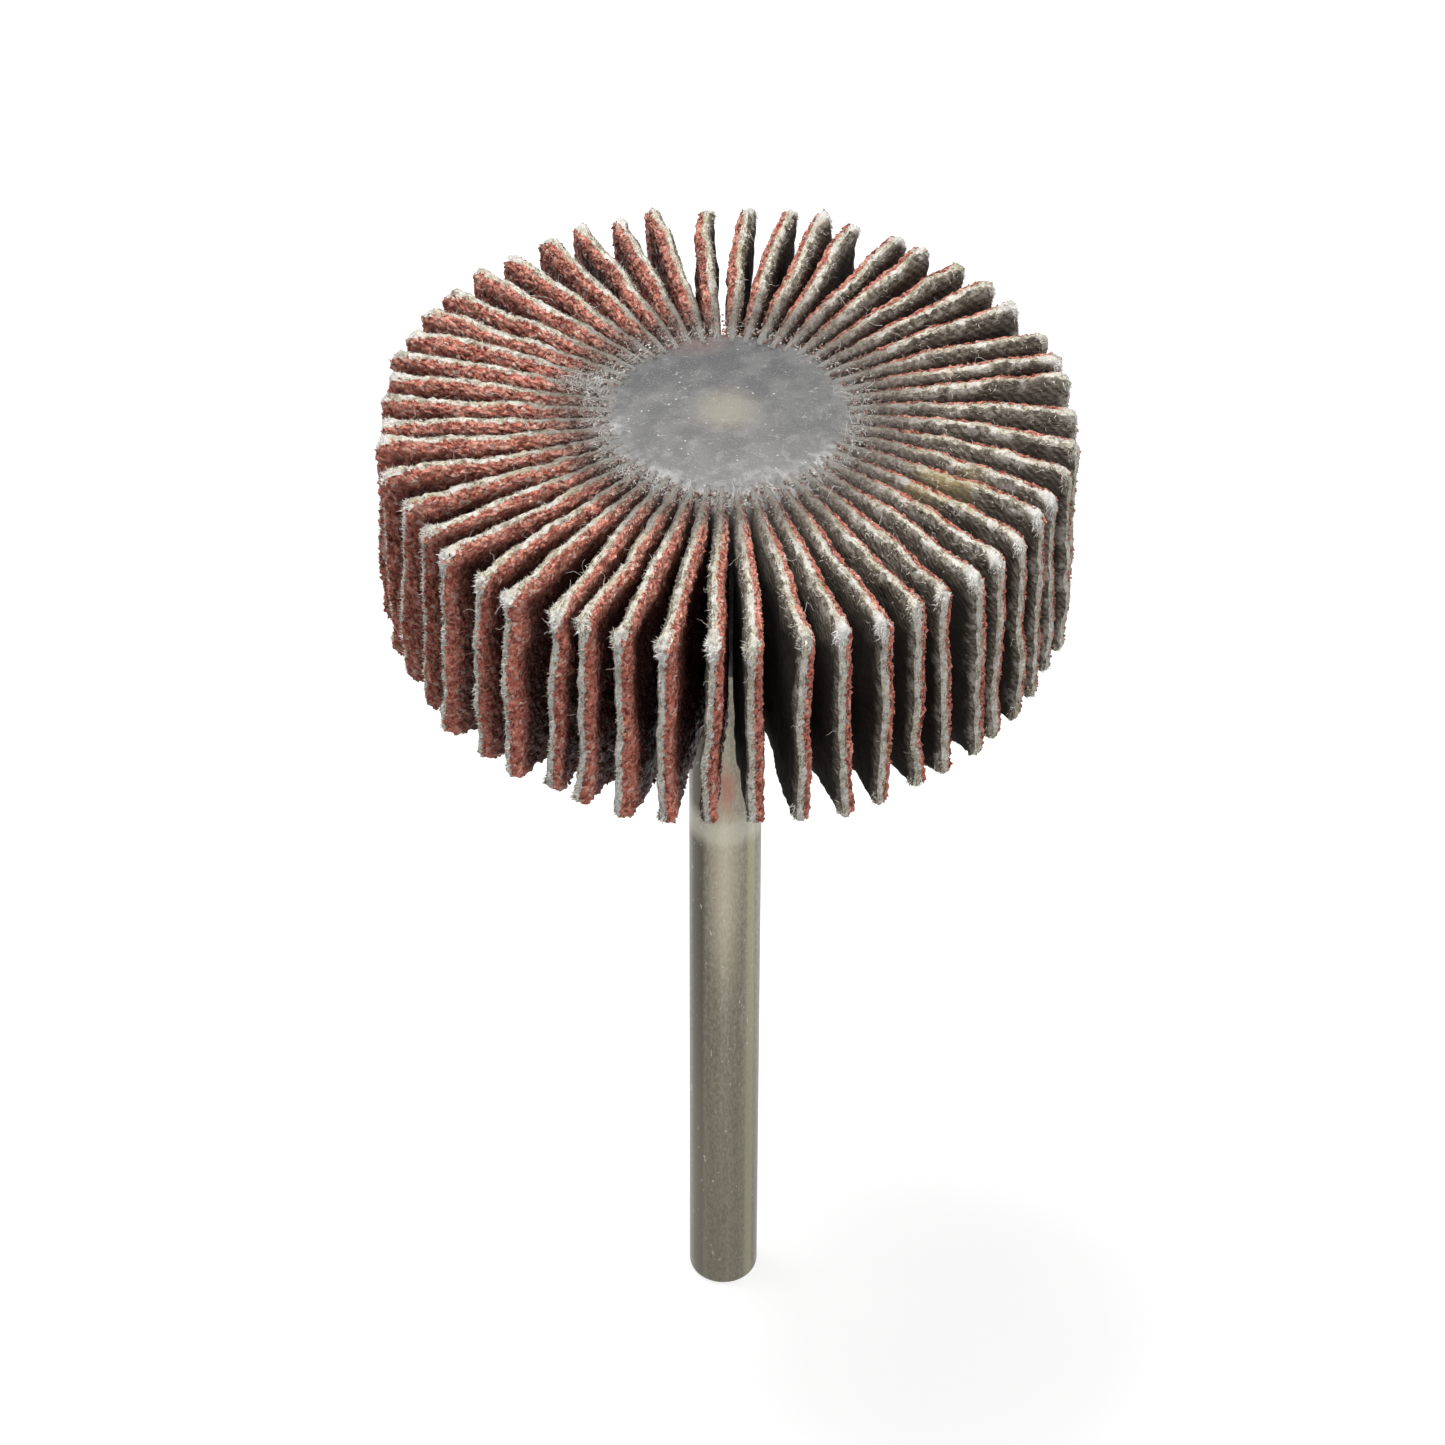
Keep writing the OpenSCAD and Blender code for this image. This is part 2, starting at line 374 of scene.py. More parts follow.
def make_cut_edge():
    """Cut edge of a flap, where cloth shows beside grit."""
    finish = Finish("cut_edge")
    from_tip, from_top, across = finish.flap_place()
    corner = finish.sum("SUBTRACT", 1.0, finish.step(finish.sum("ADD", from_tip, from_top), 0.3, 1.2))
    ragged = finish.sum("ADD", across, finish.sum("MULTIPLY", finish.noise(4.0, 4.0, 0.7), 0.75))
    ragged = finish.sum("ADD", ragged, finish.sum("MULTIPLY", finish.noise(1.3, 2.0), 0.40))
    # Painted light: on the wheel's left side the pale cloth reaches further across the cut edge, so the left
    # flaps look lighter.
    left = finish.step(finish.sum("MULTIPLY", finish.part(finish.place(), "X"), -1.0), 1.0, 9.0)
    ragged = finish.sum("SUBTRACT", ragged, finish.sum("MULTIPLY", left, 0.08))
    ragged = finish.sum("SUBTRACT", ragged, finish.sum("MULTIPLY", corner, 0.36))
    rim = finish.sum("SUBTRACT", 1.0, finish.step(from_tip, 0.25, 0.8))
    ragged = finish.sum("ADD", ragged, finish.sum("MULTIPLY", rim, 0.04))
    share = finish.step(ragged, CLOTH_SHARE + 0.53, CLOTH_SHARE + 0.62)
    grit, grain_relief, tint = grit_colour(finish)
    grit = soaked(finish, grit, 6.8, 9.0, (0.165, 0.118, 0.10))
    cloth, cloth_relief = cloth_colour(finish)
    relief = finish.blend(share, cloth_relief, grain_relief)
    roughness = finish.sum("SUBTRACT", 0.95, finish.sum("MULTIPLY", share, 0.35))
    return finish.finish(finish.mix(share, cloth, grit), roughness, finish.bump(relief, 0.18 * MM),
                         specular=0.2)


def make_cloth_back():
    """Back of the cloth: a faint twill under a nap, dirty, with painted shade inside, and frayed at the edges."""
    finish = Finish("cloth_back")
    colour, relief = cloth_colour(finish)
    return finish.finish(colour, 0.95, finish.bump(relief, 0.14 * MM), specular=0.2)


def make_fibre():
    """Loose cotton fibres, with painted shade on those deep in the gaps."""
    finish = Finish("loose_fibre")
    colour = finish.ramp(finish.noise(1.6, 3.0), [
        (0.35, (0.42, 0.38, 0.30)), (0.5, (0.72, 0.68, 0.58)), (0.65, (0.95, 0.94, 0.90))])
    from_tip, from_top, _ = finish.flap_place()
    corner = finish.sum("SUBTRACT", 1.0, finish.step(finish.sum("ADD", from_tip, from_top), 0.5, 1.4))
    corner = finish.sum("MULTIPLY", corner, finish.step(finish.noise(0.35, 2.0), 0.36, 0.56))
    colour = finish.mix(corner, colour, (0.95, 0.94, 0.92))
    colour = soaked(finish, colour, 7.6, 10.5, (0.16, 0.145, 0.13))
    # Painted shade: fibres away from the tip and the upper edge are darkened, deep in the gaps between flaps.
    inside = finish.step(finish.sum("MINIMUM", from_tip, from_top), 0.35, 1.3)
    colour = finish.mix(finish.sum("MULTIPLY", inside, 0.9), colour, (0.05, 0.040, 0.033))
    return finish.finish(colour, 0.9, specular=0.1)


def make_resin():
    """Cast resin: smoky grey, hazed and scuffed at its rim, dusty, with the shank's end showing through."""
    finish = Finish("core_resin")
    place = finish.place()
    radius = finish.radius()
    cloud = finish.noise(0.7, 5.0, 0.62)
    fine = finish.noise(4.0, 6.0, 0.72)
    turn = finish.sum("ARCTAN2", finish.part(place, "Y"), finish.part(place, "X"))
    across = finish.part(place, "Y")
    # The resin is darker at the back and paler towards the front, where its mist and rim haze also reach further
    # in.
    front = finish.step(finish.sum("MULTIPLY", across, -1.0), -4.5, 5.5)
    colour = finish.mix(front, (0.080, 0.081, 0.083), (0.155, 0.153, 0.148))
    colour = finish.mix(finish.step(cloud, 0.40, 0.62), colour,
                        finish.mix(0.3, colour, (0.28, 0.275, 0.262)))
    mist = finish.sum("MULTIPLY", finish.step(finish.noise(1.7, 5.0, 0.7), 0.50, 0.66), front)
    colour = finish.mix(finish.sum("MULTIPLY", mist, 0.38), colour, (0.42, 0.415, 0.40))
    polar = finish.add("ShaderNodeCombineXYZ", None, X=finish.sum("MULTIPLY", turn, 9.0),
                       Y=finish.sum("MULTIPLY", radius, 0.9)).outputs["Vector"]
    streaks = finish.noise(1.6, 5.0, 0.7, polar)
    uneven = finish.noise(0.42, 3.0, 0.6, finish.stretched(place, (1, 1, 1), (3.1, 0.4, 0)))
    reach = finish.sum("ADD", radius, finish.sum("MULTIPLY", uneven, 3.4))
    reach = finish.sum("ADD", reach, finish.sum("MULTIPLY", front, 0.55))
    haze = finish.sum("MULTIPLY", finish.step(reach, 6.2, 8.0), finish.step(streaks, 0.42, 0.66))
    colour = finish.mix(finish.sum("MULTIPLY", haze, 0.75), colour, (0.56, 0.55, 0.53))
    for spot, width in (((-4.9, -0.9, WHEEL_TOP / MM), 1.1), ((3.9, -3.0, WHEEL_TOP / MM), 1.0),
                        ((4.8, 1.6, WHEEL_TOP / MM), 0.7), ((-2.6, -4.3, WHEEL_TOP / MM), 1.1)):
        bruise = finish.sum("ADD", finish.distance(spot), finish.sum("MULTIPLY", streaks, 1.5))
        bruise = finish.sum("SUBTRACT", 1.0, finish.step(bruise, 0.7, width + 0.75))
        bruise = finish.sum("MULTIPLY", bruise, finish.step(fine, 0.40, 0.62))
        colour = finish.mix(finish.sum("MULTIPLY", bruise, 0.75), colour, (0.62, 0.61, 0.59))
    spot_edge = finish.sum("ADD", radius, finish.sum("MULTIPLY", fine, 1.4))
    spot = finish.sum("SUBTRACT", 1.0, finish.step(spot_edge, 1.1, 2.6))
    colour = finish.mix(finish.sum("MULTIPLY", spot, 0.5), colour, (0.36, 0.32, 0.24))
    smear = finish.distance((-1.6, 4.7, WHEEL_TOP / MM), (0.45, 0.8, 0.4))
    smear = finish.sum("SUBTRACT", 1.0, finish.step(finish.sum("ADD", smear, fine), 0.7, 1.6))
    colour = finish.mix(finish.sum("MULTIPLY", smear, 0.55), colour, (0.125, 0.062, 0.052))
    specks = finish.add("ShaderNodeTexVoronoi", None, Vector=place, Scale=2.6, Randomness=1.0)
    chosen = finish.part(specks.outputs["Color"], "Y")
    grown = finish.sum("SUBTRACT", specks.outputs["Distance"], finish.sum("MULTIPLY", chosen, 0.10))
    speck = finish.sum("SUBTRACT", 1.0, finish.step(grown, 0.0, 0.06))
    speck = finish.sum("MULTIPLY", speck, finish.step(chosen, 0.52, 0.60))
    lines = finish.noise(0.6, 2.0, 0.5, finish.stretched(place, (1.0, 2.2, 1.0)), 1.0)
    scratch = finish.sum("ABSOLUTE", finish.sum("SUBTRACT", lines, 0.47))
    scratch = finish.sum("SUBTRACT", 1.0, finish.step(scratch, 0.001, 0.007))
    scratch = finish.sum("MULTIPLY", scratch, finish.step(fine, 0.44, 0.56))
    marks = finish.sum("MAXIMUM", speck, finish.sum("MULTIPLY", scratch, 0.6))
    dusty = finish.sum("MULTIPLY", finish.step(finish.noise(13.0, 3.0, 0.8), 0.56, 0.68), 0.4)
    marks = finish.sum("MAXIMUM", marks, dusty)
    colour = finish.mix(finish.sum("MULTIPLY", marks, 0.75), colour, (0.74, 0.73, 0.71))
    roughness = finish.sum("ADD", 0.30, finish.sum("MULTIPLY", haze, 0.4))
    relief = finish.sum("ADD", fine, finish.sum("ADD", marks, haze))
    return finish.finish(colour, roughness, finish.bump(relief, 0.02 * MM), specular=0.5)


def make_steel():
    """Drawn steel of the shank: dark and pale streaks along it, fine grain, specks, painted dark and pale
    reflections down its front, a painted highlight, a pale band below the wheel and a painted red reflection of
    the flaps near the wheel.
    """
    finish = Finish("shank_steel")
    place = finish.place()
    drawn = finish.stretched(place, (1.0, 1.0, 0.02), (0.35, 0.1, 0.0))
    streaks = finish.noise(0.9, 3.0, 0.6, drawn)
    turned = finish.noise(3.0, 4.0, 0.6, finish.stretched(place, (1.0, 1.0, 9.0)))
    colour = finish.ramp(streaks, [
        (0.36, (0.105, 0.093, 0.066)), (0.5, (0.155, 0.139, 0.102)), (0.64, (0.225, 0.205, 0.157))])
    grain = finish.noise(9.0, 4.0, 0.75, finish.stretched(place, (1.0, 1.0, 0.35)))
    colour = finish.mix(finish.step(grain, 0.36, 0.66), finish.mix(0.35, colour, (0.05, 0.043, 0.03)),
                        finish.mix(0.09, colour, (0.75, 0.70, 0.58)))
    # Painted reflection: a dark band down the shank's front left.
    painted_dark = finish.distance((-1.22, -1.02, 0.0), (1.0, 1.0, 0.0))
    painted_dark = finish.sum("ADD", painted_dark, finish.sum("MULTIPLY", finish.noise(3.0, 3.0), 0.2))
    painted_dark = finish.sum("SUBTRACT", 1.0, finish.step(painted_dark, 0.34, 0.66))
    colour = finish.mix(finish.sum("MULTIPLY", painted_dark, 0.9), colour, (0.050, 0.043, 0.029))
    # Painted reflection: a pale band down the shank's front right.
    pale = finish.distance((1.15, -1.09, 0.0), (1.0, 1.0, 0.0))
    pale = finish.sum("SUBTRACT", 1.0, finish.step(pale, 0.12, 0.36))
    colour = finish.mix(finish.sum("MULTIPLY", pale, 0.5), colour, (0.40, 0.38, 0.24))
    height = finish.part(place, "Z")
    # Painted highlight: a soft pale column down the front of the shank's upper part.
    glow = finish.distance((0.0, -1.6, 27.0), (1.1, 1.1, 0.11))
    glow = finish.sum("SUBTRACT", 1.0, finish.step(glow, 0.1, 1.2))
    colour = finish.mix(finish.sum("MULTIPLY", glow, 0.45), colour, (0.58, 0.53, 0.40))
    low = finish.sum("SUBTRACT", 1.0, finish.step(height, 4.0, 24.0))
    colour = finish.mix(finish.sum("MULTIPLY", low, 0.35), colour, (0.21, 0.185, 0.14))
    # A pale band round the front of the shank, a little below the wheel.
    pale_band = finish.sum("ABSOLUTE", finish.sum("SUBTRACT", height, 29.6))
    pale_band = finish.sum("ADD", pale_band, finish.noise(0.9, 3.0))
    pale_band = finish.sum("SUBTRACT", 1.0, finish.step(pale_band, 0.7, 1.8))
    pale_band = finish.sum("MULTIPLY", pale_band, finish.step(finish.part(place, "Y"), 0.6, -0.6))
    colour = finish.mix(finish.sum("MULTIPLY", pale_band, 0.45), colour, (0.52, 0.50, 0.42))
    # Painted reflection: the red flaps mirrored on the shank's front just below the wheel.
    tinted_patch = finish.distance((0.05, -1.58, 32.2), (1.5, 1.0, 0.32))
    tinted_patch = finish.sum("ADD", tinted_patch, finish.sum("MULTIPLY", finish.noise(1.6, 3.0), 0.5))
    tinted_patch = finish.sum("SUBTRACT", 1.0, finish.step(tinted_patch, 0.35, 0.95))
    colour = finish.mix(finish.sum("MULTIPLY", tinted_patch, 0.7), colour, (0.30, 0.105, 0.078))
    specks = finish.noise(4.0, 3.0, 0.6, finish.stretched(place, (1.6, 1.6, 0.5)))
    colour = finish.mix(finish.sum("MULTIPLY", finish.step(specks, 0.66, 0.72), 0.40), colour,
                        (0.80, 0.77, 0.70))
    roughness = finish.sum("ADD", 0.28, finish.sum("MULTIPLY", turned, 0.22))
    return finish.finish(colour, roughness, finish.bump(turned, 0.003 * MM), metallic=0.85)


def flap_shape(name, chance):
    """The bent middle line, thickness and reach of a flap, read from its node, and how it is worn."""
    points = np.array([v.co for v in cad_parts[name].data.vertices]) / MM
    radii = np.hypot(points[:, 0], points[:, 1])
    centre = points.mean(axis=0)
    heading = math.atan2(centre[1], centre[0])
    angles = np.arctan2(points[:, 1], points[:, 0]) - heading
    angles = (angles + math.pi) % (2 * math.pi) - math.pi
    rows = {}
    for radius, angle in zip(radii, angles):
        rows.setdefault(round(radius, 2), []).append((radius, angle))
    stations = []
    for row in rows.values():
        spread = [angle for _, angle in row]
        if max(spread) - min(spread) > 0.4 / row[0][0]:
            stations.append((row[0][0], (max(spread) + min(spread)) / 2, max(spread) - min(spread)))
    line = np.array(sorted(stations))
    return {
        "bend": np.polyfit(line[:, 0], line[:, 1], 5),
        "radii": line[:, 0],
        "thickness": line[:, 2] * line[:, 0],
        "heading": heading,
        "root": radii.min(),
        "tip": radii.max(),
        "twist": math.radians(chance.uniform(-1.0, 1.0) - 1.6 * math.cos(heading)),
        "cup": math.radians(chance.uniform(-2.0, 2.0)),
        "wear": chance.uniform(0.3, 0.7),
        "foot_wear": chance.uniform(0.25, 0.6),
        "tuft": chance.choice((0.06, 0.12, 0.20, 0.30)) * (0.65 - 0.5 * math.sin(heading)),
        "foot": chance.choice((0.05, 0.12, 0.2)),
    }


def cloud(chance, spots):
    """Smooth random values from -1 to 1 at spots on a lattice of unit cells."""
    lattice = chance.uniform(-1, 1, (16, 16, 16))
    cell = np.floor(spots).astype(int)
    part = spots - cell
    part = part * part * (3 - 2 * part)
    value = np.zeros(len(spots))
    for corner in itertools.product((0, 1), repeat=3):
        weight = np.prod(np.where(corner, part, 1 - part), axis=1)
        index = (cell + corner) % 16
        value += weight * lattice[index[:, 0], index[:, 1], index[:, 2]]
    return value


def rounded(first, first_edge, second, second_edge, size):
    """Rounds the corner where both values reach their edges; an edge is (place, 1 upward or -1 downward)."""
    a = (first - first_edge[0]) * first_edge[1] / size + 1
    b = (second - second_edge[0]) * second_edge[1] / size + 1
    inside = (a > 0) & (b > 0)
    pull = np.maximum(a, b) / np.maximum(np.hypot(a, b), 1e-6)
    a = np.where(inside, a * pull, a)
    b = np.where(inside, b * pull, b)
    return (first_edge[0] + first_edge[1] * (a - 1) * size,
            second_edge[0] + second_edge[1] * (b - 1) * size)


def roughened(flat, slab, chance):
    """The flat flap with its grit clumped and its cut cloth lumpy; grains and fibres keep their places."""
    x, y, z = flat.T.copy()
    depth = z / FLAP_THICKNESS
    free = np.clip((x - 0.6) / 1.8, 0, 1)
    grain = chance.random(len(x)) ** 2
    fuzz = chance.random(len(x)) - 0.5
    clump = cloud(chance, flat / 0.30)
    lump = cloud(chance, flat / 0.5)
    grit = depth > CLOTH_SHARE
    out = np.where(grit, 0.08 * grain + 0.10 * clump, 0.14 * fuzz + 0.10 * lump) * (0.4 + 0.6 * free)
    on_tip = x > FLAP_LENGTH - 0.001
    on_top = y > FLAP_HEIGHT - 0.001
    on_bottom = y < 0.001
    slip = 0.07
    x = x + slab * np.where(on_tip, out, slip * fuzz * free)
    ridge = RIDGE * np.exp(-((depth - 0.4) / 0.25) ** 2)
    y = y + slab * np.where(on_top, out + ridge, np.where(on_bottom, -out - ridge, slip * fuzz))
    z = z + slab * free * np.where(depth > 0.99, 0.12 * grain + 0.09 * clump, 0.0)
    z = z - slab * free * np.where(depth < 0.01, 0.04 * fuzz + 0.05 * lump, 0.0)
    return x, y, z


def worn_flap(flat, slab, shape, chance):
    """Places in metres of a flat flap's points on the bent, worn, gritty and fraying flap."""
    x, y, z = roughened(flat, slab, chance)
    share = x / FLAP_LENGTH
    level = y / FLAP_HEIGHT
    free = np.clip((x - 1.6) / 3.2, 0, 1)
    sheet = np.stack([x, y, 0 * z], axis=1)
    sway = 0.17 * cloud(chance, sheet / 2.7) + 0.08 * cloud(chance, sheet / (1.1, 1.6, 1.0))
    upper = cloud(chance, np.stack([x / 1.1, 0 * y, 0 * z], axis=1))
    outer = cloud(chance, np.stack([0 * x, y / 1.3, 0 * z], axis=1))
    y = y + 0.09 * upper * (2 * level - 1) * free
    x = x + 0.07 * outer * share ** 4
    corner = np.hypot(FLAP_LENGTH - x, FLAP_HEIGHT - y)
    foot = np.hypot(FLAP_LENGTH - x, y)
    x, y = rounded(x, (FLAP_LENGTH, 1), y, (FLAP_HEIGHT, 1), shape["wear"])
    x, y = rounded(x, (FLAP_LENGTH, 1), y, (0.0, -1), shape["foot_wear"])
    z, y = rounded(z, (0.0, -1), y, (FLAP_HEIGHT, 1), 0.32)
    z, y = rounded(z, (0.0, -1), y, (0.0, -1), 0.28)
    z, x = rounded(z, (0.0, -1), x, (FLAP_LENGTH, 1), 0.34)
    z, x = rounded(z, (FLAP_THICKNESS, 1), x, (FLAP_LENGTH, 1), 0.36)
    z, y = rounded(z, (FLAP_THICKNESS, 1), y, (FLAP_HEIGHT, 1), 0.34)
    soft = np.clip(1 - z / (0.6 * FLAP_THICKNESS), 0, 1)
    fluff = 1 + 0.8 * cloud(chance, flat / 0.35)
    z = z - soft * fluff * (shape["tuft"] * np.clip(1 - corner / 0.9, 0, 1)
                            + shape["foot"] * np.clip(1 - foot / 0.7, 0, 1))
    reach = shape["root"] + x / FLAP_LENGTH * (shape["tip"] - shape["root"])
    thick = np.interp(reach, shape["radii"], shape["thickness"])
    side = (z / FLAP_THICKNESS - 0.5) * thick * LEANNESS + sway * free * (0.4 + 0.6 * share)
    turn = shape["heading"] + np.polyval(shape["bend"], reach)
    turn = turn + (shape["twist"] * (level - 0.5) + shape["cup"] * (level - 0.5) ** 2) * share ** 2
    return np.stack([
        reach * np.cos(turn) - side * np.sin(turn),
        reach * np.sin(turn) + side * np.cos(turn),
        WHEEL_BOTTOM / MM + y], axis=1) * MM


def as_mesh(work):
    """Ends the making of a mesh."""
    mesh = bpy.data.meshes.new("work")
    work.to_mesh(mesh)
    work.free()
    return mesh


def flat_slab():
    """A flap laid flat, in millimetres: x from root to tip, y up, z from the cloth face to the grit face."""
    work = bmesh.new()
    bmesh.ops.create_grid(work, x_segments=COLUMNS, y_segments=ROWS, size=0.5)
    bmesh.ops.solidify(work, geom=work.faces[:], thickness=1.0)
    bmesh.ops.recalc_face_normals(work, faces=work.faces[:])
    lowest = min(v.co.z for v in work.verts)
    bmesh.ops.translate(work, verts=work.verts[:], vec=(0.5, 0.5, -lowest))
    through = [e for e in work.edges if abs(e.verts[0].co.z - e.verts[1].co.z) > 0.5]
    bmesh.ops.subdivide_edges(work, edges=through, cuts=LAYERS - 1, use_grid_fill=True)
    for vert in work.verts:
        u, v, depth = vert.co
        crowded = 0.5 + 0.5 * math.sin((2 * v - 1) * CROWDING) / math.sin(CROWDING)
        vert.co = (u * (1.5 - 0.5 * u) * FLAP_LENGTH, crowded * FLAP_HEIGHT, depth * FLAP_THICKNESS)
    return work


def grain_mesh(rng):
    """Sharp crystals, half sunk in the grit side of the cut edges and in the grit face."""
    work = bmesh.new()
    for _ in range(GRAINS):
        side = rng.random()
        out = rng.uniform(1.3, FLAP_LENGTH - 0.2)
        up = rng.uniform(0.2, FLAP_HEIGHT - 0.2)
        across = FLAP_THICKNESS * rng.uniform(CLOTH_SHARE + 0.04, 1.02)
        if side < 0.22:
            spot = (out, FLAP_HEIGHT, across)
        elif side < 0.46:
            spot = (FLAP_LENGTH, up, across)
        elif side < 0.56:
            spot = (out, 0.0, across)
        elif side < 0.80:
            spot = (out, FLAP_HEIGHT * (1 - rng.random() ** 2), FLAP_THICKNESS * 1.02)
        else:
            spot = (FLAP_LENGTH - 2.5 * rng.random() ** 2, up, FLAP_THICKNESS * 1.02)
        turn = Euler([rng.uniform(0, 2 * math.pi) for _ in range(3)]).to_matrix().to_4x4()
        stretch = Matrix.Diagonal([rng.uniform(0.6, 1.25) for _ in range(3)] + [1])
        size = rng.uniform(0.07, 0.15)
        bmesh.ops.create_cone(work, cap_ends=True, cap_tris=False, segments=4, radius1=size, radius2=0.0,
                              depth=1.3 * size, matrix=Matrix.Translation(spot) @ turn @ stretch)
    return as_mesh(work)


def add_fibre(work, spot, heading, length, radius):
    """One short fibre that stands on the flap."""
    turn = Vector(heading).to_track_quat("Z", "Y").to_matrix().to_4x4()
    place = Matrix.Translation(spot) @ turn @ Matrix.Translation((0, 0, 0.45 * length))
    bmesh.ops.create_cone(work, cap_ends=True, cap_tris=True, segments=3, radius1=radius,
                          radius2=0.0, depth=length, matrix=place)


def fibre_mesh(rng, tuft, foot):
    """The fuzz of the cut cloth: short fibres along the edges and on the face, and tufts at the corners."""
    work = bmesh.new()
    for _ in range(NAP_FIBRES):
        side = rng.random()
        out = rng.uniform(0.6, FLAP_LENGTH)
        up = rng.uniform(0.0, FLAP_HEIGHT)
        across = FLAP_THICKNESS * rng.uniform(0.15, CLOTH_SHARE + 0.04)
        aside = -rng.uniform(0.1, 1.3)
        length = rng.uniform(0.10, 0.28)
        if side < 0.36:
            spot, heading = (out, FLAP_HEIGHT, across), (rng.gauss(0, 0.6), rng.uniform(0.2, 1), aside)
        elif side < 0.80:
            spot, heading = (FLAP_LENGTH, up, across), (rng.uniform(0.2, 1), rng.gauss(0, 0.6), aside)
        elif side < 0.89:
            spot, heading = (out, 0.0, across), (rng.gauss(0, 0.6), -rng.uniform(0.2, 1), aside)
        else:
            spot = (out, FLAP_HEIGHT - 0.9 * rng.random() ** 2, 0.0)
            heading = (rng.gauss(0, 0.9), rng.gauss(0, 0.6), -rng.uniform(0.3, 1))
        add_fibre(work, spot, heading, length, FIBRE_RADIUS * rng.uniform(0.7, 1.3))
    for height, count in ((FLAP_HEIGHT, tuft), (0.0, foot)):
        for _ in range(int(count * TUFT_FIBRES)):
            inward = rng.random() ** 1.5 * 0.8
            spot = (FLAP_LENGTH - rng.uniform(0.0, 0.4), abs(height - inward), rng.uniform(0.0, 0.3))
            heading = (rng.uniform(-0.3, 1.0), rng.gauss(0, 0.7), -rng.uniform(0.1, 1.2))
            add_fibre(work, spot, heading, rng.uniform(0.15, 0.42), FIBRE_RADIUS * rng.uniform(1.1, 2.0))
    return as_mesh(work)


def tube_mesh(strands, radius):
    """Thin tapering tubes along lists of points, as one mesh."""
    curve = bpy.data.curves.new("strands", "CURVE")
    curve.dimensions = "3D"
    curve.bevel_depth = radius
    curve.bevel_resolution = 0
    curve.use_fill_caps = True
    for points in strands:
        spline = curve.splines.new("POLY")
        spline.points.add(len(points) - 1)
        for i, (spot, point) in enumerate(zip(points, spline.points)):
            point.co = (*spot, 1.0)
            point.radius = 1.0 - 0.6 * i / (len(points) - 1)
    holder = bpy.data.objects.new("strands", curve)
    bpy.context.scene.collection.objects.link(holder)
    graph = bpy.context.evaluated_depsgraph_get()
    mesh = bpy.data.meshes.new_from_object(holder.evaluated_get(graph))
    bpy.data.objects.remove(holder)
    bpy.data.curves.remove(curve)
    return mesh


def strand(start, heading, length, rng, bends):
    """Points of a hair that wanders from its heading."""
    points = [Vector(start)]
    step = Vector(heading).normalized()
    for _ in range(bends):
        wander = Vector((rng.gauss(0, 1), rng.gauss(0, 1), rng.gauss(0, 1))) * 0.4
        step = (step + wander).normalized()
        points.append(points[-1] + step * length / bends)
    return points


def long_hairs(rng):
    """Long hairs pulled out of the cut edges of the cloth."""
    strands = []
    for _ in range(LONG_HAIRS):
        across = rng.uniform(0.0, 0.3)
        if rng.random() < 0.6:
            start = (rng.uniform(1.5, FLAP_LENGTH - 0.3), FLAP_HEIGHT - 0.05, across)
            heading = (rng.gauss(0, 1), rng.uniform(0.0, 0.6), -rng.random())
        else:
            start = (FLAP_LENGTH - 0.05, rng.uniform(0.3, FLAP_HEIGHT - 0.3), across)
            heading = (rng.uniform(0.1, 0.7), rng.gauss(0, 1), -rng.random())
        strands.append(strand(start, heading, rng.uniform(0.35, 0.9), rng, 5))
    return tube_mesh(strands, HAIR_RADIUS)


def flat_flap(number, finishes):
    """A flat flap with its grains and fibres, and how many of its points belong to the slab."""
    rng = random.Random(number)
    work = flat_slab()
    slab_points = len(work.verts)
    for face in work.faces:
        depths = [v.co.z for v in face.verts]
        on_cloth = max(depths) < 0.01
        on_grit = min(depths) > FLAP_THICKNESS - 0.01
        face.material_index = 0 if on_cloth else 1 if on_grit else 2
        face.smooth = max(depths) < CLOTH_SHARE * FLAP_THICKNESS
    slab_faces = len(work.faces)
    work.from_mesh(grain_mesh(rng))
    grain_faces = len(work.faces)
    work.from_mesh(fibre_mesh(rng, rng.choice((0.5, 0.9, 1.4)), rng.choice((0.3, 0.6))))
    work.from_mesh(long_hairs(rng))
    work.faces.ensure_lookup_table()
    for face in work.faces[slab_faces:grain_faces]:
        face.material_index = 1
    for face in work.faces[grain_faces:]:
        face.material_index = 3
    cloth_map = work.loops.layers.uv.new("cloth")
    for face in work.faces:
        for loop in face.loops:
            loop[cloth_map].uv = loop.vert.co.xy
    mesh = as_mesh(work)
    for finish in finishes:
        mesh.materials.append(finish)
    flat = np.empty(len(mesh.vertices) * 3, dtype=np.float32)
    mesh.vertices.foreach_get("co", flat)
    flat = flat.reshape(-1, 3).astype(float)
    place = mesh.attributes.new("flat_place", "FLOAT_VECTOR", "POINT")
    place.data.foreach_set("vector", flat.astype(np.float32).ravel())
    return mesh, flat, np.arange(len(flat)) < slab_points


def make_flap(name, blanks):
    """One flap, grit and frayed cloth and all, in the place of its node."""
    number = int(name.split("_")[1])
    chance = np.random.default_rng(number)
    blank, flat, slab = blanks[number % len(blanks)]
    mesh = blank.copy()
    mesh.name = name + "_worn"
    spots = worn_flap(flat, slab, flap_shape(name, chance), chance)
    mesh.vertices.foreach_set("co", spots.astype(np.float32).ravel())
    uv = np.empty(len(mesh.loops) * 2, dtype=np.float32)
    mesh.uv_layers["cloth"].data.foreach_get("uv", uv)
    mesh.uv_layers["cloth"].data.foreach_set("uv", uv + 3 * number)
    mesh.update()
    piece = bpy.data.objects.new(name + "_worn", mesh)
    bpy.context.scene.collection.objects.link(piece)
    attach(piece, "root")
    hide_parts(name)


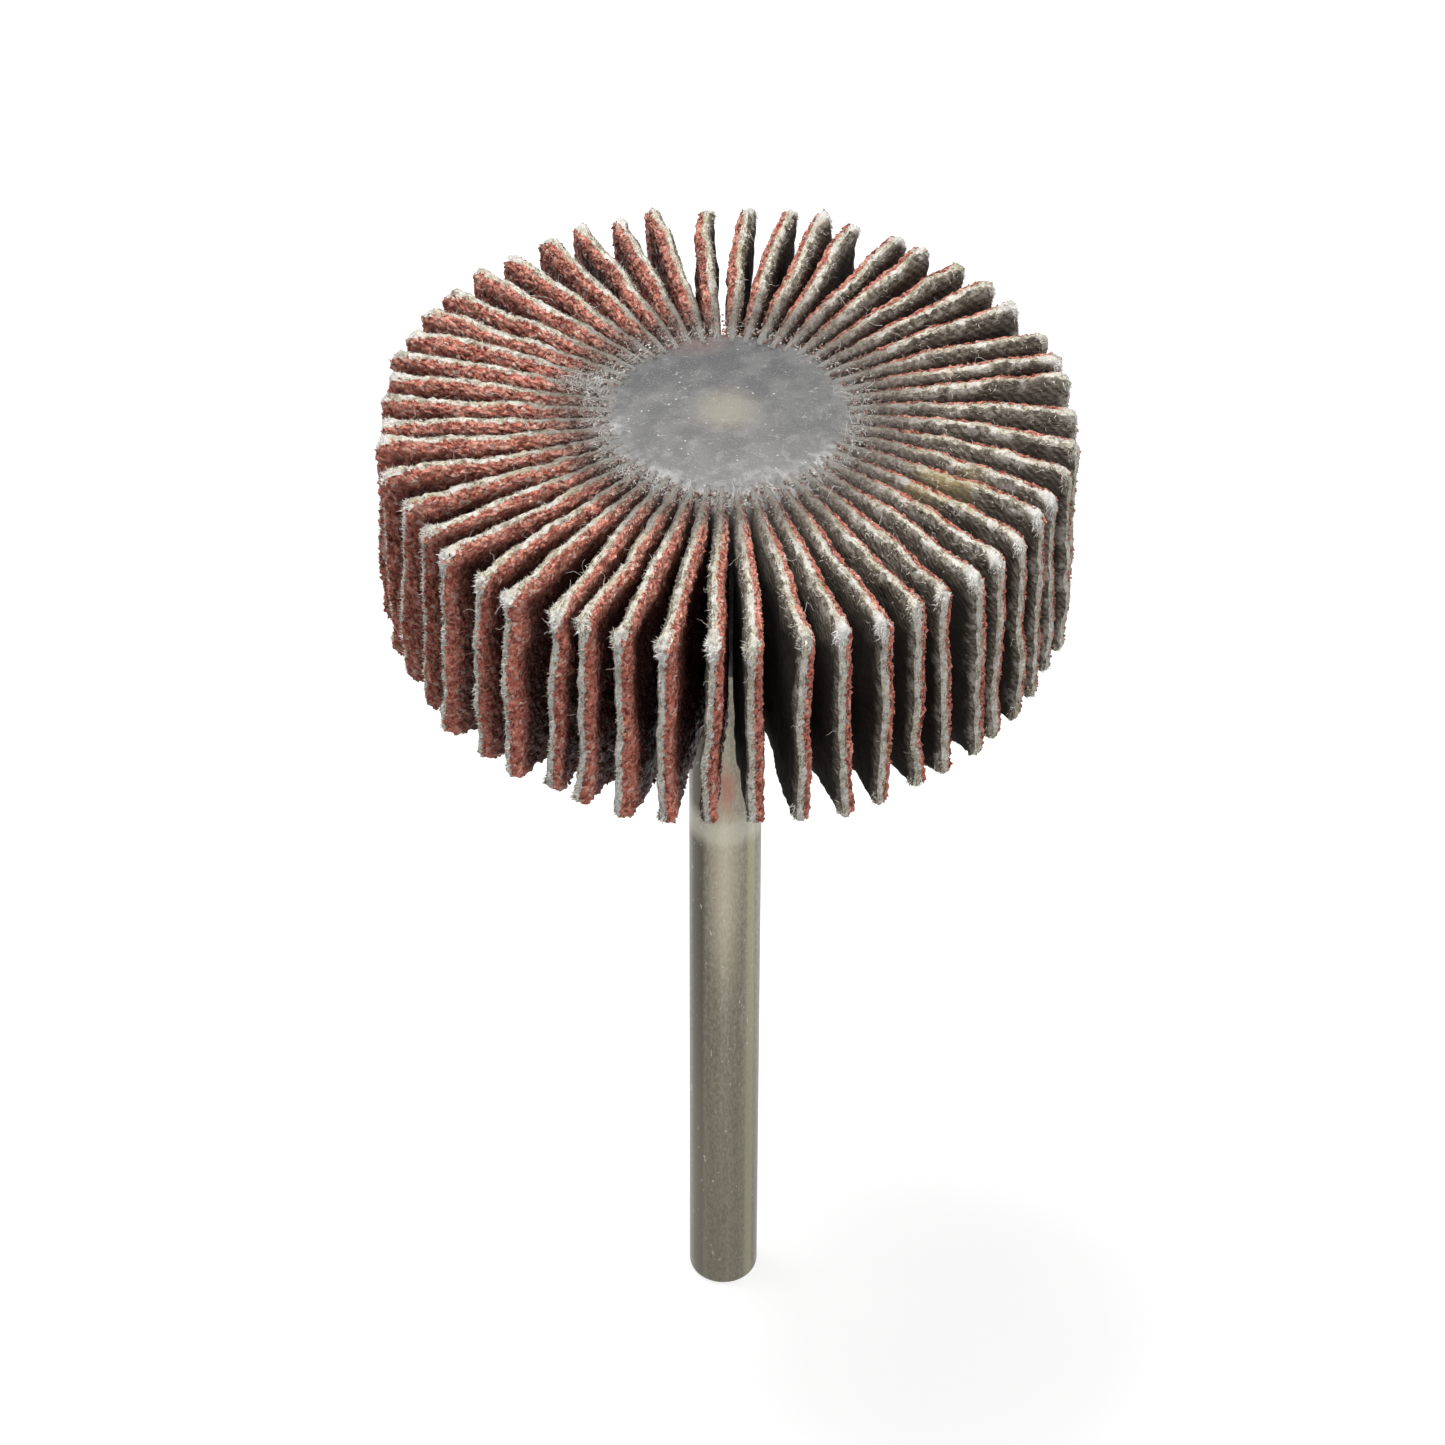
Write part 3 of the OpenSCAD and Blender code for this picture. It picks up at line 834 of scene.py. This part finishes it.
def turned(name, profile, steps, finish, relief=None):
    """A round piece: its profile of (radius, height) is spun about the wheel's axis."""
    work = bmesh.new()
    verts = [work.verts.new((r, 0, z)) for r, z in profile]
    edges = [work.edges.new(pair) for pair in zip(verts, verts[1:])]
    bmesh.ops.spin(work, geom=verts + edges, axis=(0, 0, 1), cent=(0, 0, 0),
                   angle=2 * math.pi, steps=steps, use_merge=True)
    bmesh.ops.remove_doubles(work, verts=work.verts[:], dist=0.002 * MM)
    bmesh.ops.recalc_face_normals(work, faces=work.faces[:])
    if relief:
        for vert in work.verts:
            vert.co += relief(vert.co)
    for face in work.faces:
        face.smooth = True
    mesh = bpy.data.meshes.new(name)
    work.to_mesh(mesh)
    work.free()
    mesh.materials.append(finish)
    piece = bpy.data.objects.new(name, mesh)
    bpy.context.scene.collection.objects.link(piece)
    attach(piece, "root")
    return piece


def crown_height(radius, face, sign):
    """Height of the resin's surface on one face of the wheel."""
    lip = 5.0 * MM
    bulge = 0.22 * MM
    if radius < lip:
        return face + sign * (bulge * (1 - (radius / lip) ** 2) - 0.02 * MM)
    return face - sign * 0.02 * MM - sign * 0.48 * MM * ((radius - lip) / (CORE_RADIUS - lip)) ** 1.4


def make_core(finish):
    """Cast resin core with a slightly uneven skin, in the place of its node."""
    rings = 48
    radii = [CORE_RADIUS * i / rings for i in range(rings + 1)]
    top = [(r, crown_height(r, WHEEL_TOP, 1)) for r in radii]
    bottom = [(r, crown_height(r, WHEEL_BOTTOM, -1)) for r in radii]
    inner = SHANK_RADIUS + 0.02 * MM
    around = [(r, z) for r, z in reversed(bottom) if r > inner]
    profile = top + around + [(inner, around[-1][1]), (inner, WHEEL_BOTTOM + 1.0 * MM),
                              (0.0, WHEEL_BOTTOM + 1.0 * MM)]

    def relief(spot):
        radius = math.hypot(spot.x, spot.y)
        if radius < inner + 0.1 * MM and spot.z < WHEEL_TOP - MM:
            return Vector((0, 0, 0))
        slow = noise.noise(spot / MM * 0.5)
        quick = noise.noise(spot / MM * 2.2)
        lift = 0.05 * slow + 0.015 * quick
        if radius > 4.3 * MM:
            lift += 0.10 * noise.noise(spot / MM * 1.7 + Vector((9, 0, 0)))
        return Vector((0, 0, lift * MM * (1 if spot.z > WHEEL_TOP - MM else -0.5)))

    piece = turned("resin_core_cast", profile, 144, finish, relief)
    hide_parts("resin_core")


def make_shank(finish):
    """Shank with softly broken edges, in the place of its node."""
    chamfer = 0.33 * MM
    arc = [(SHANK_RADIUS - chamfer + chamfer * math.sin(a), SHANK_LOW.z + chamfer - chamfer * math.cos(a))
           for a in (math.radians(15 * i) for i in range(7))]
    rise = SHANK_HIGH.z - SHANK_LOW.z - 2 * chamfer
    walls = [(SHANK_RADIUS, SHANK_LOW.z + chamfer + rise * i / 60) for i in range(1, 61)]
    profile = [(0.0, SHANK_LOW.z), (0.6 * SHANK_RADIUS, SHANK_LOW.z)] + arc + walls
    profile += [(SHANK_RADIUS - chamfer, SHANK_HIGH.z), (0.0, SHANK_HIGH.z)]
    piece = turned("shank_pin", profile, 72, finish)
    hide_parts("shank")


def crumb_mesh(rng):
    """Some of the crumbs that lie on the flaps' roots."""
    work = bmesh.new()
    for _ in range(CRUMBS_IN_BATCH):
        turn = rng.uniform(0, 2 * math.pi)
        reach = 4.9 + abs(rng.gauss(0, 0.75))
        spot = (reach * MM * math.cos(turn), reach * MM * math.sin(turn),
                WHEEL_TOP + rng.uniform(-0.10, 0.04) * MM)
        tilt = Euler([rng.uniform(0, 2 * math.pi) for _ in range(3)]).to_matrix().to_4x4()
        size = rng.uniform(0.03, 0.07) * MM
        bmesh.ops.create_cone(work, cap_ends=True, segments=4, radius1=size, radius2=0.0, depth=1.4 * size,
                              matrix=Matrix.Translation(spot) @ tilt)
    return as_mesh(work)


def stray_threads(finishes):
    """Long loose threads lying on the wheel, and lint and crumbs around the resin."""
    rng = random.Random(77)
    strands = []
    for _ in range(18):
        turn = rng.uniform(0, 2 * math.pi)
        reach = rng.uniform(6.5, 13.0) * MM
        start = Vector((reach * math.cos(turn), reach * math.sin(turn), WHEEL_TOP + 0.04 * MM))
        heading = Vector((rng.gauss(0, 1), rng.gauss(0, 1), 0.15))
        strands.append(strand(start, heading, rng.uniform(0.8, 2.0) * MM, rng, 7))
    for _ in range(620):
        turn = math.radians(rng.choice((rng.gauss(165, 14), rng.gauss(215, 25), rng.gauss(-12, 16),
                                        rng.uniform(0, 360), rng.uniform(0, 360))))
        reach = rng.gauss(5.5, 0.35) * MM
        start = Vector((reach * math.cos(turn), reach * math.sin(turn), WHEEL_TOP + 0.0 * MM))
        outward = start.xy.normalized() * rng.gauss(0.0, 0.9)
        heading = Vector((rng.gauss(0, 0.6) + outward.x, rng.gauss(0, 0.6) + outward.y, 0.25))
        strands.append(strand(start, heading, rng.uniform(0.15, 0.6) * MM, rng, 3))
    for _ in range(260):
        turn = math.radians(rng.gauss(162, 3.5))
        reach = rng.gauss(6.3, 0.5) * MM
        start = Vector((reach * math.cos(turn), reach * math.sin(turn), WHEEL_TOP + rng.uniform(-0.05, 0.1) * MM))
        heading = Vector((rng.gauss(0, 1), rng.gauss(0, 1), rng.uniform(-0.1, 0.5)))
        strands.append(strand(start, heading, rng.uniform(0.15, 0.5) * MM, rng, 3))
    work = bmesh.new()
    work.from_mesh(tube_mesh(strands, HAIR_RADIUS * MM))
    for face in work.faces:
        face.material_index = 0
    threads = len(work.faces)
    for _ in range(CRUMB_BATCHES):
        work.from_mesh(crumb_mesh(rng))
    work.faces.ensure_lookup_table()
    for face in work.faces[threads:]:
        face.material_index = 1
    mesh = as_mesh(work)
    for each in finishes:
        mesh.materials.append(each)
    piece = bpy.data.objects.new("stray_threads", mesh)
    bpy.context.scene.collection.objects.link(piece)
    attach(piece, "root")


def make_lint():
    """White lint on the resin's edge."""
    finish = Finish("white_lint")
    colour = finish.ramp(finish.noise(1.6, 3.0), [(0.4, (0.45, 0.43, 0.40)), (0.6, (0.85, 0.84, 0.82))])
    return finish.finish(colour, 0.9, specular=0.2)


def make_dust():
    """Crumbs of grit, fluff and resin that lie on the flaps' roots, each of one tint."""
    finish = Finish("root_dust")
    grain = finish.add("ShaderNodeTexVoronoi", None, Vector=finish.place(), Scale=5.0, Randomness=1.0)
    colour = finish.ramp(finish.part(grain.outputs["Color"], "X"), [
        (0.0, (0.13, 0.095, 0.08)), (0.3, (0.34, 0.15, 0.115)), (0.5, (0.24, 0.205, 0.18)),
        (0.8, (0.40, 0.35, 0.31)), (0.98, (0.62, 0.60, 0.56))])
    return finish.finish(colour, 0.9, specular=0.2)


def seen_by_eye(nodes, links):
    """1 on rays that come from the camera, or by way of metal or glass, and 0 on those that light."""
    path = nodes.new("ShaderNodeLightPath")
    total = path.outputs["Is Camera Ray"]
    for name in ("Is Glossy Ray", "Is Transmission Ray"):
        add = nodes.new("ShaderNodeMath")
        add.operation = "ADD"
        add.use_clamp = True
        links.new(total, add.inputs[0])
        links.new(path.outputs[name], add.inputs[1])
        total = add.outputs[0]
    return total


def make_room():
    """White room: it lights at a plain level, and looks white."""
    world = bpy.data.worlds.new("white_room")
    bpy.context.scene.world = world
    world.use_nodes = True
    nodes, links = world.node_tree.nodes, world.node_tree.links
    level = nodes.new("ShaderNodeMapRange")
    links.new(seen_by_eye(nodes, links), level.inputs["Value"])
    level.inputs["To Min"].default_value = ROOM_LIGHT
    level.inputs["To Max"].default_value = 1.0
    nodes["Background"].inputs["Color"].default_value = WHITE
    links.new(level.outputs["Result"], nodes["Background"].inputs["Strength"])


def make_floor():
    """White floor under the shank's end, which keeps the wheel's shadow."""
    work = bmesh.new()
    bmesh.ops.create_grid(work, x_segments=1, y_segments=1, size=1.5)
    mesh = bpy.data.meshes.new("floor")
    work.to_mesh(mesh)
    work.free()
    finish = Finish("white_floor")
    finish.finish((FLOOR_TONE, FLOOR_TONE, FLOOR_TONE), 0.9, specular=0.0)
    finish.shader.inputs["Emission Color"].default_value = WHITE
    glow = finish.sum("MULTIPLY", seen_by_eye(finish.nodes, finish.links), FLOOR_GLOW)
    finish.links.new(glow, finish.shader.inputs["Emission Strength"])
    mesh.materials.append(finish.material)
    floor = bpy.data.objects.new("floor", mesh)
    floor.location.z = SHANK_LOW.z - 0.05 * MM
    bpy.context.scene.collection.objects.link(floor)


def soft_box(name, spot, size, watts):
    """A square lamp that faces the middle of the wheel."""
    light = bpy.data.lights.new(name, "AREA")
    light.shape = "SQUARE"
    light.size = size
    light.energy = watts
    lamp = bpy.data.objects.new(name, light)
    lamp.location = spot
    aim = Vector((0, 0, WHEEL_TOP)) - lamp.location
    lamp.rotation_euler = aim.to_track_quat("-Z", "Y").to_euler()
    bpy.context.scene.collection.objects.link(lamp)


def make_camera():
    """Camera that looks down on the wheel's face, as in the photograph."""
    data = bpy.data.cameras.new("camera")
    data.lens = CAMERA_LENS
    data.sensor_width = 36.0
    data.clip_start = 0.01
    data.clip_end = 10.0
    camera = bpy.data.objects.new("camera", data)
    tilt = Matrix.Rotation(math.pi / 2 - CAMERA_LOOKS_DOWN, 4, "X")
    roll = Matrix.Rotation(CAMERA_ROLL, 4, "Z")
    camera.matrix_world = Matrix.Translation(CAMERA_SPOT) @ tilt @ roll
    bpy.context.scene.collection.objects.link(camera)
    bpy.context.scene.camera = camera


def main():
    """Builds the pieces, the room and the camera."""
    bpy.context.scene.view_settings.view_transform = "Standard"
    make_camera()
    make_room()
    make_floor()
    soft_box("key_box", Vector((-0.10, 0.04, 0.46)), 0.16, KEY_WATTS)
    soft_box("front_box", Vector((0.26, -0.36, 0.26)), 0.16, FRONT_WATTS)
    finishes = [make_cloth_back(), make_grit(), make_cut_edge(), make_fibre()]
    blanks = [flat_flap(number, finishes) for number in range(BLANKS)]
    for name in wheel_nodes():
        make_flap(name, blanks)
    make_core(make_resin())
    make_shank(make_steel())
    stray_threads([make_lint(), make_dust()])


main()
